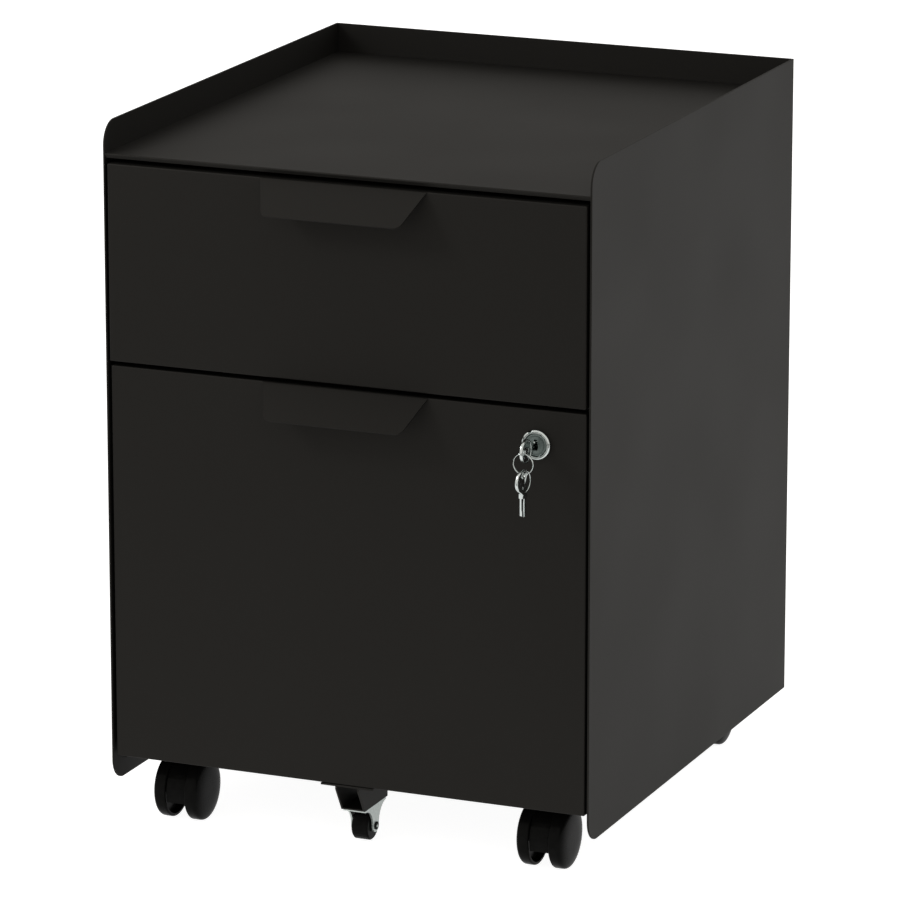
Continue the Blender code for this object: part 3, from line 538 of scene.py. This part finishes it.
def pull_tab(name, plane, top):
    """The tab that leaves the top fold outwards and down, bent over a small radius."""
    turn = PULL_BEND * math.tan(PULL_LEAN / 2)
    rows = [(plane + PULL_LAP, top, PULL_TOP_HALF)]
    for i in range(9):
        angle = PULL_LEAN * i / 8
        rows.append((plane + turn - PULL_BEND * math.sin(angle),
                     top - PULL_BEND * (1 - math.cos(angle)), PULL_TOP_HALF))
    along = [turn + (PULL_LENGTH - PULL_CORNER - turn) * i / 6 for i in range(1, 7)]
    along += [PULL_LENGTH - PULL_CORNER * (1 - math.sin(math.radians(90 * i / 12)))
              for i in range(1, 13)]
    for s in along:
        rows.append((plane - s * math.cos(PULL_LEAN), top - s * math.sin(PULL_LEAN),
                     pull_half_width(s)))
    bm = bmesh.new()
    grid = [[bm.verts.new(((2 * c / PULL_COLUMNS - 1) * half, y, z))
             for c in range(PULL_COLUMNS + 1)] for y, z, half in rows]
    for upper, lower in zip(grid, grid[1:]):
        for c in range(PULL_COLUMNS):
            bm.faces.new((upper[c], upper[c + 1], lower[c + 1], lower[c]))
    tab = add_object(name, bm)
    if tab.data.polygons[0].normal.z < 0:
        tab.data.flip_normals()
    sheet = tab.modifiers.new("Sheet", 'SOLIDIFY')
    sheet.thickness = SHEET
    sheet.offset = -1
    soften(tab, EDGE, 2, 60)
    return apply_modifiers(tab)


def lock_hole(pan, plane):
    """Hole through the front sheet for the lock's barrel; the rosette hides its edge."""
    low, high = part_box("lock_barrel")
    centre = ((low.x + high.x) / 2, plane, (low.z + high.z) / 2)
    ends = ((0.0, 2 * SHEET), (BARREL_HOLE, 2 * SHEET), (BARREL_HOLE, -2 * SHEET),
            (0.0, -2 * SHEET))
    drill(pan, turned("lock_hole", ends, 64, "-Y", centre))


def drawer_front(level, proud):
    """Folded pan and tab as one sheet; its flats are shaded flat up to the bends."""
    low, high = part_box(f"{level}_drawer_front")
    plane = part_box("left_side_panel")[0].y - proud
    pan = folded_pan(f"{level}_front_pan", Vector((low.x, plane, low.z)), high)
    if level == "lower":
        lock_hole(pan, plane)
    tab = pull_tab(f"{level}_front_tab", plane, high.z - PULL_SINK)
    front = join(f"{level}_front_sheet", [pan, tab])
    smooth(front)
    flats = front.modifiers.new("Flats", 'WEIGHTED_NORMAL')
    flats.keep_sharp = True
    return front


def drawer_fronts():
    for level, proud in FRONT_PROUD.items():
        finish_piece(drawer_front(level, proud), f"{level}_drawer_front")


# ---------------------------------------------------------------- slides

def channel_section(web, reach, middle, half):
    """Bent channel in (x, z): web at one x, lips reaching a signed distance away from it."""
    side = math.copysign(1.0, reach)
    tip, fold, inner = abs(reach), SLIDE_FOLD, SLIDE_FOLD - SLIDE_GAUGE
    top, foot = (fold, half - fold), (fold, fold - half)
    outside = [(tip, half)] + arc(top, fold, 90, 180, 5) + arc(foot, fold, 180, 270, 5)
    outside.append((tip, -half))
    inside = [(tip, SLIDE_GAUGE - half)] + arc(foot, inner, 270, 180, 5)
    inside += arc(top, inner, 180, 90, 5) + [(tip, half - SLIDE_GAUGE)]
    return [(web + side * u, middle + v) for u, v in outside + inside]


def obround(y, z, length, width):
    """Outline of a slot with round ends, about a centre in (y, z)."""
    r, flat = width / 2, (length - width) / 2
    return arc((y + flat, z), r, -90, 90, 10) + arc((y - flat, z), r, 90, 270, 10)


def pan_head(name, place, turn):
    """Pan head with a cross recess; it stands on a sheet and faces +X turned about Z."""
    head = turned(name, PAN_HEAD, SMALL_SIDES, "X", (0, 0, 0))
    for arm_y, arm_z in (RECESS_ARM, RECESS_ARM[::-1]):
        corners = [(-arm_y, -arm_z), (arm_y, -arm_z), (arm_y, arm_z), (-arm_y, arm_z)]
        drill(head, plate(name + "_recess", corners, "X", *RECESS_SPAN))
    smooth(head, 35)
    head.data.transform(Matrix.Translation(place) @ Matrix.Rotation(math.radians(turn), 4, 'Z'))
    return head


def slides():
    """Rolled channels with pierced webs; the runners' screws hold them to the drawer box."""
    for level in ("upper", "lower"):
        for side, outward in (("left", -1), ("right", 1)):
            for member, slots in SLIDE_SLOTS.items():
                node = f"{level}_slide_{member}_{side}"
                low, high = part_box(node)
                opens = outward if member == "runner" else -outward
                web, tip = (low.x, high.x) if opens > 0 else (high.x, low.x)
                middle = (low.z + high.z) / 2
                section = channel_section(web, tip - web, middle, (high.z - low.z) / 2)
                channel = plate(node + "_channel", section, "Y", low.y, high.y)
                for along, length, width in slots:
                    outline = obround(low.y + along, middle, length, width)
                    drill(channel, plate(node + "_slot", outline, "X", web - 2 * SLIDE_GAUGE,
                                         web + 2 * SLIDE_GAUGE))
                smooth(channel)
                finish_piece(channel, node)
                if member != "runner":
                    continue
                for k, along in enumerate(RUNNER_SCREWS):
                    place = (web + opens * SLIDE_GAUGE, low.y + along, middle)
                    screw = pan_head(f"{node}_screw_{k + 1}", place, 0 if opens > 0 else 180)
                    dress(screw, node, "chrome")


# ---------------------------------------------------------------- drawer boxes

def hem(name, face, inward, axis, start, end, top):
    """Sheet folded over a wall's rim and down inside it, rounded on top."""
    section = [(SHEET, -HEM_DROP), (2 * SHEET, -HEM_DROP), (2 * SHEET, 0.0)]
    section += arc((SHEET, 0.0), SHEET, 0, 180, 10)[1:] + [(SHEET, 0.0)]
    bead = plate(name, [(face + inward * u, top + v) for u, v in section], axis, start, end)
    smooth(bead)
    return bead


def drawer_trim():
    """Hemmed rims, and the screws that hold each front to its box."""
    for level, (floor_z, rim) in BOX_LEVELS.items():
        node = f"{level}_drawer_box"
        low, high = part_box(node)
        half = BOX_HALF - (0.0 if level == "upper" else RAIL_CLEARANCE)
        hems = [hem(f"{level}_hem_back", high.y, -1, "X", -half, half, rim)]
        if level == "upper":
            hems += [hem(f"upper_hem_{side}", sign * BOX_HALF, -sign, "Y", low.y + SHEET,
                         high.y, rim) for side, sign in (("left", -1), ("right", 1))]
        dress(join(f"{level}_box_hems", hems), node, "powder_coat")
        heights = (floor_z + FRONT_SCREW_Z, rim - FRONT_SCREW_Z)
        places = [(x, z) for x in (-FRONT_SCREW_X, FRONT_SCREW_X) for z in heights]
        for k, (x, z) in enumerate(places):
            screw = pan_head(f"{level}_front_screw_{k + 1}", (x, low.y + SHEET, z), 90)
            dress(screw, node, "zinc")


# ---------------------------------------------------------------- castors

def wheel_profile(width, radius):
    """Domed outer side, tread, and a hollow inner side with a boss for the axle."""
    dome = [(0.0, width)]
    for i in range(1, DOME_STEPS + 1):
        angle = math.radians(90 * (1 - i / DOME_STEPS))
        dome.append((radius * math.cos(angle) ** DOME_FULLNESS,
                     DOME_FOOT + (width - DOME_FOOT) * math.sin(angle) ** DOME_FULLNESS))
    tread = [(radius - TREAD_ROUND * (1 - math.cos(math.radians(a))),
              TREAD_ROUND * (1 - math.sin(math.radians(a)))) for a in (0, 22, 45, 68, 90)]
    wall, (step, depth) = radius - RIM_WALL, RIM_EDGE
    hollow = [(wall, 0.0), (wall - step, depth), (wall - step, HOLLOW_DEPTH)]
    return dome + tread + hollow + WHEEL_BOSS


def castor_wheels():
    """Two wheels per castor, with their domes outwards."""
    castors = [f"castor_{end}_{side}" for end in ("front", "rear") for side in ("left", "right")]
    for castor in castors:
        for hand, axis in (("left", "-X"), ("right", "X")):
            node = f"{castor}_wheel_{hand}"
            low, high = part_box(node)
            inner = low.x if axis == "X" else high.x
            place = (inner, (low.y + high.y) / 2, (low.z + high.z) / 2)
            profile = wheel_profile(high.x - low.x, (high.z - low.z) / 2)
            wheel = turned(node + "_shell", profile, WHEEL_SEGMENTS, axis, place)
            smooth(wheel, 28)
            finish_piece(wheel, node)


def tilt_axle():
    """Rivet of the fifth castor: a black washer outside each ear under a zinc head."""
    low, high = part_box("tilt_castor_axle")
    place = (low + high) / 2
    reach = (high.x - low.x) / 2
    ear = reach - RIVET_HEAD
    head = [(r, reach - depth) for r, depth in RIVET_TOP]
    head.append((RIVET_FOOT[0], ear + RIVET_FOOT[1]))
    both = head + [(r, -x) for r, x in reversed(head)]
    pin = turned("tilt_rivet", both, SMALL_SIDES, "X", place)
    smooth(pin, 40)
    finish_piece(pin, "tilt_castor_axle")
    for side, sign in (("left", -1), ("right", 1)):
        ring = [(r, sign * (ear + x)) for r, x in WASHER]
        washer = turned(f"tilt_washer_{side}", ring, SMALL_SIDES, "X", place)
        smooth(washer, 40)
        dress(washer, "tilt_castor_axle", "castor_plastic")


# ---------------------------------------------------------------- lock and keys

def lock_piece(node):
    """Point of a node's axis at y = 0, its radius, and how far its ends lie along -Y."""
    low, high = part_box(node)
    centre = ((low.x + high.x) / 2, 0, (low.z + high.z) / 2)
    return centre, (high.x - low.x) / 2, -low.y, -high.y


def rosette():
    """Chromed bezel round the plug: sloped rim with a notch, and a rolled inner lip."""
    centre, radius, front, back = lock_piece("lock_barrel")
    base = front - ROSETTE_THICK
    profile = [(r, front - depth) for r, depth in ROSETTE_LIP]
    profile += [(radius - inset, front - depth) for inset, depth in ROSETTE_RIM]
    profile += [(radius, base), (BARREL_RADIUS, base), (BARREL_RADIUS, back),
                (BARREL_BORE, back), profile[0]]
    bezel = turned("lock_rosette", profile, LOCK_SIDES, "-Y", centre)
    width, depth = ROSETTE_NOTCH
    bm = bmesh.new()
    bmesh.ops.create_cube(bm, size=1.0, matrix=Matrix.Diagonal((2 * depth, PAST, width, 1.0)))
    cutter = add_object("notch_cutter", bm)
    out = Vector((math.cos(ROSETTE_NOTCH_ANGLE), 0, math.sin(ROSETTE_NOTCH_ANGLE)))
    cutter.rotation_euler = (0, -ROSETTE_NOTCH_ANGLE, 0)
    cutter.location = Vector((centre[0], -front, centre[2])) + out * radius
    drill(bezel, cutter)
    smooth(bezel, 40)
    finish_piece(bezel, "lock_barrel")


def plug():
    """Plug face with a turned groove near its rim and the dark keyway."""
    centre, radius, front, back = lock_piece("lock_plug")
    tail = -(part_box("lock_cam")[0].y - CAM_GAP)
    side = radius - PLUG_EDGE[-1][0]
    profile = [(r, front - depth) for r, depth in PLUG_FACE]
    profile += [(radius - inset, front - depth) for inset, depth in PLUG_EDGE]
    profile += [(side, tail), (PLUG_TAIL, tail), (PLUG_TAIL, back), (0.0, back)]
    body = turned("lock_plug_face", profile, LOCK_SIDES, "-Y", centre)
    outline = [(centre[0] + x, centre[2] + z) for x, z in KEYWAY]
    drill(body, plate("keyway", outline, "Y", -front - PAST / 2, -front + KEYWAY_DEPTH))
    smooth(body, 40)
    finish_piece(body, "lock_plug")


def key_mesh(name):
    """A stamped key along +Y from its bow: oval bow with a hole, shoulders, grooved blade."""
    reach = math.asin(NECK_HALF / BOW_HALF)
    half = BOW_LENGTH / 2
    outline = []
    for i in range(BOW_STEPS + 1):
        angle = reach + (2 * math.pi - 2 * reach) * i / BOW_STEPS
        outline.append((half + half * math.cos(angle), BOW_HALF * math.sin(angle)))
    neck, tip = BOW_LENGTH + NECK_LENGTH, KEY_LENGTH - KEY_TIP
    outline += [(neck, -NECK_HALF), (neck, -BLADE_HALF), (tip, -BLADE_HALF), (KEY_LENGTH, 0.0),
                (tip, BLADE_HALF)]
    for along, depth in KEY_CUTS:
        place, foot = neck + along, BLADE_HALF - depth
        outline += [(place + CUT_TOP_HALF, BLADE_HALF), (place + CUT_FOOT_HALF, foot),
                    (place - CUT_FOOT_HALF, foot), (place - CUT_TOP_HALF, BLADE_HALF)]
    outline += [(neck, BLADE_HALF), (neck, NECK_HALF)]
    body = plate(name, outline, "X", -KEY_THICK / 2, KEY_THICK / 2)
    turns = [math.radians(360 / BOW_STEPS * i) for i in range(BOW_STEPS)]
    dish = [(half + (half - BOW_RIM) * math.cos(turn), (BOW_HALF - BOW_RIM) * math.sin(turn))
            for turn in turns]
    hole = [(0.0, PAST), (BOW_HOLE_RADIUS, PAST), (BOW_HOLE_RADIUS, -PAST), (0.0, -PAST)]
    cutters = [turned("bow_hole", hole, SMALL_SIDES, "X", (0, BOW_HOLE, 0))]
    for sign in (-1, 1):
        above = sign * (KEY_THICK / 2 + PAST)
        for part, start, half_wide, depth in BLADE_STRIPS:
            strip = [(neck + start, -half_wide), (KEY_LENGTH + PAST, -half_wide),
                     (KEY_LENGTH + PAST, half_wide), (neck + start, half_wide)]
            cutters.append(plate("blade_" + part, strip, "X",
                                 sign * (BLADE_THICK / 2 - depth), above))
        cutters.append(plate("bow_dish", dish, "X", sign * (KEY_THICK / 2 - BOW_DISH), above))
    drill(body, *cutters, edge=KEY_EDGE)
    face = KEY_THICK / 2 - BOW_DISH
    trim = [body]
    for sign, axis in ((-1, "-X"), (1, "X")):
        ring = [(r, face + height) for r, height in EYELET]
        trim.append(turned("bow_eyelet", ring, SMALL_SIDES, axis, (0, BOW_HOLE, 0)))
        foot, top = STAMP_SPAN
        stamp = plate("bow_stamp", STAMP, "X", sign * (face + foot), sign * (face + top))
        soften(stamp, STAMP_ROUND, 2)
        trim.append(apply_modifiers(stamp))
    whole = join(name, trim)
    smooth(whole, 30)
    return whole


def keys():
    """One key in the lock, and one that hangs from the ring with its blade down."""
    low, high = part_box("lock_key")
    in_lock = key_mesh("lock_key_stamping")
    in_lock.location = ((low.x + high.x) / 2, low.y, (low.z + high.z) / 2)
    finish_piece(in_lock, "lock_key")
    low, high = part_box("spare_key")
    spare = key_mesh("spare_key_stamping")
    centre = (low + high) / 2
    hang = Matrix.Rotation(math.radians(-90), 4, 'X')
    turn = Matrix.Rotation(SPARE_TURN, 4, 'Z')
    spare.matrix_world = Matrix.Translation((centre.x, centre.y, high.z)) @ turn @ hang
    finish_piece(spare, "spare_key")


def split_ring():
    """Two turns of round wire against each other, with the step from one to the next."""
    low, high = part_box("key_ring")
    centre = (low + high) / 2
    wire = (high.y - low.y) / 4
    major = (high.z - low.z - high.y + low.y) / 2
    bm = bmesh.new()
    rings = []
    for i in range(RING_PLACES + 1):
        turn = RING_STEP + (4 * math.pi - 2 * RING_STEP) * i / RING_PLACES
        ease = min(max((turn - 2 * math.pi) / RING_STEP, -1.0), 1.0)
        shift = wire * math.sin(ease * math.pi / 2)
        circle = []
        for k in range(RING_AROUND):
            angle = math.radians(360 / RING_AROUND * k)
            reach = major + wire * math.cos(angle)
            offset = (-reach * math.cos(turn), shift + wire * math.sin(angle),
                      reach * math.sin(turn))
            circle.append(bm.verts.new(centre + Vector(offset)))
        rings.append(circle)
    for one, other in zip(rings, rings[1:]):
        for k in range(RING_AROUND):
            bm.faces.new((one[k], one[k - 1], other[k - 1], other[k]))
    bm.faces.new(rings[0])
    bm.faces.new(rings[-1])
    ring = add_object("key_ring_wire", bm)
    smooth(ring, 50)
    finish_piece(ring, "key_ring")


# ---------------------------------------------------------------- pieces carried over

def carried_nodes(replaced):
    """CAD nodes that are right as they are get their material and rounded edges."""
    for name, obj in frame["nodes"].items():
        if name in replaced:
            continue
        obj.data.materials.clear()
        obj.data.materials.append(MATERIALS[SLOT_OF[name]])
        weld = obj.modifiers.new("Weld", 'WELD')
        weld.merge_threshold = CARRIED_WELD
        bevel = obj.modifiers.new("Edges", 'BEVEL')
        bevel.width = HUB_ROUND if name.endswith("_hub") else CARRIED_ROUND
        bevel.segments = 2
        bevel.limit_method = 'ANGLE'
        bevel.angle_limit = CARRIED_SHARP


# ---------------------------------------------------------------- studio

def ramp(tree, value, limits):
    """Smooth step of a value between the limits."""
    node = tree.nodes.new("ShaderNodeMapRange")
    node.interpolation_type = 'SMOOTHSTEP'
    for key, limit in zip(("From Min", "From Max", "To Min", "To Max"), limits):
        node.inputs[key].default_value = limit
    tree.links.new(value, node.inputs["Value"])
    return node.outputs["Result"]


def camera_sees(tree, level, otherwise):
    """At least this level where the camera looks straight at it, and the given value in light."""
    path = tree.nodes.new("ShaderNodeLightPath")
    seen = tree.nodes.new("ShaderNodeMath")
    seen.operation = 'MULTIPLY'
    tree.links.new(path.outputs["Is Camera Ray"], seen.inputs[0])
    seen.inputs[1].default_value = level
    most = tree.nodes.new("ShaderNodeMath")
    most.operation = 'MAXIMUM'
    tree.links.new(seen.outputs["Value"], most.inputs[0])
    tree.links.new(otherwise, most.inputs[1])
    return most.outputs["Value"]


def floor():
    """A pale lit table: it glows softly, less so ahead of the object on its right."""
    bpy.ops.mesh.primitive_plane_add(size=FLOOR_SIZE, location=(0, 0, 0))
    ground = bpy.context.object
    ground.name = "floor"
    mat, tree, shader = new_material("floor_white", (0.45, 0.45, 0.45), 0.9, specular=0.1)
    shader.inputs["Emission Color"].default_value = WHITE
    where = tree.nodes.new("ShaderNodeTexCoord")
    axes = tree.nodes.new("ShaderNodeSeparateXYZ")
    tree.links.new(where.outputs["Object"], axes.inputs[0])
    to_right = ramp(tree, axes.outputs["X"], DIM_RIGHT)
    in_front = ramp(tree, axes.outputs["Y"], DIM_AHEAD)
    dim = tree.nodes.new("ShaderNodeMath")
    dim.operation = 'MULTIPLY'
    tree.links.new(to_right, dim.inputs[0])
    tree.links.new(in_front, dim.inputs[1])
    glow = ramp(tree, dim.outputs["Value"], (0.0, 1.0, FLOOR_GLOW, 0.0))
    tree.links.new(camera_sees(tree, FLOOR_SEEN, glow), shader.inputs["Emission Strength"])
    ground.data.materials.append(mat)


def world_light():
    """White all round, dimmer towards the back of the object."""
    world = bpy.data.worlds.new("studio")
    bpy.context.scene.world = world
    world.use_nodes = True
    tree = world.node_tree
    background = tree.nodes["Background"]
    where = tree.nodes.new("ShaderNodeTexCoord")
    axes = tree.nodes.new("ShaderNodeSeparateXYZ")
    tree.links.new(where.outputs["Generated"], axes.inputs[0])
    across = ramp(tree, axes.outputs["Y"], BACK_DIM)
    tree.links.new(camera_sees(tree, 1.0, across), background.inputs["Strength"])
    warmth = tree.nodes.new("ShaderNodeMix")
    warmth.data_type = 'RGBA'
    warmth.inputs["A"].default_value = WORLD_TINT
    warmth.inputs["B"].default_value = WHITE
    path = tree.nodes.new("ShaderNodeLightPath")
    tree.links.new(path.outputs["Is Camera Ray"], warmth.inputs["Factor"])
    tree.links.new(warmth.outputs["Result"], background.inputs["Color"])


def area_light(name, place, target, size, power):
    """Rectangular light that faces its target; size in metres, power in watts."""
    data = bpy.data.lights.new(name, 'AREA')
    data.shape = 'RECTANGLE'
    data.size, data.size_y = size
    data.energy = power
    light = bpy.data.objects.new(name, data)
    light.location = place
    light.rotation_euler = (Vector(target) - Vector(place)).to_track_quat('-Z', 'Y').to_euler()
    bpy.context.scene.collection.objects.link(light)


def camera():
    """Long lens from ahead on the right, looking a little down."""
    data = bpy.data.cameras.new("camera")
    data.lens = CAMERA_LENS
    data.sensor_width = CAMERA_SENSOR
    data.clip_end = CAMERA_REACH
    cam = bpy.data.objects.new("camera", data)
    cam.location = CAMERA_PLACE
    cam.rotation_euler = (math.radians(90 - CAMERA_PITCH), 0, math.radians(CAMERA_YAW))
    bpy.context.scene.collection.objects.link(cam)
    bpy.context.scene.camera = cam


# ---------------------------------------------------------------- assembly

side_panels()
back_sheet()
tray_top()
drawer_fronts()
slides()
drawer_trim()
castor_wheels()
tilt_axle()
rosette()
plug()
keys()
split_ring()
carried_nodes({node for obj in bpy.data.objects for node in obj.get("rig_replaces", [])})
floor()
world_light()
for light in LIGHTS:
    area_light(*light)
camera()
bpy.context.scene.view_settings.view_transform = 'Standard'
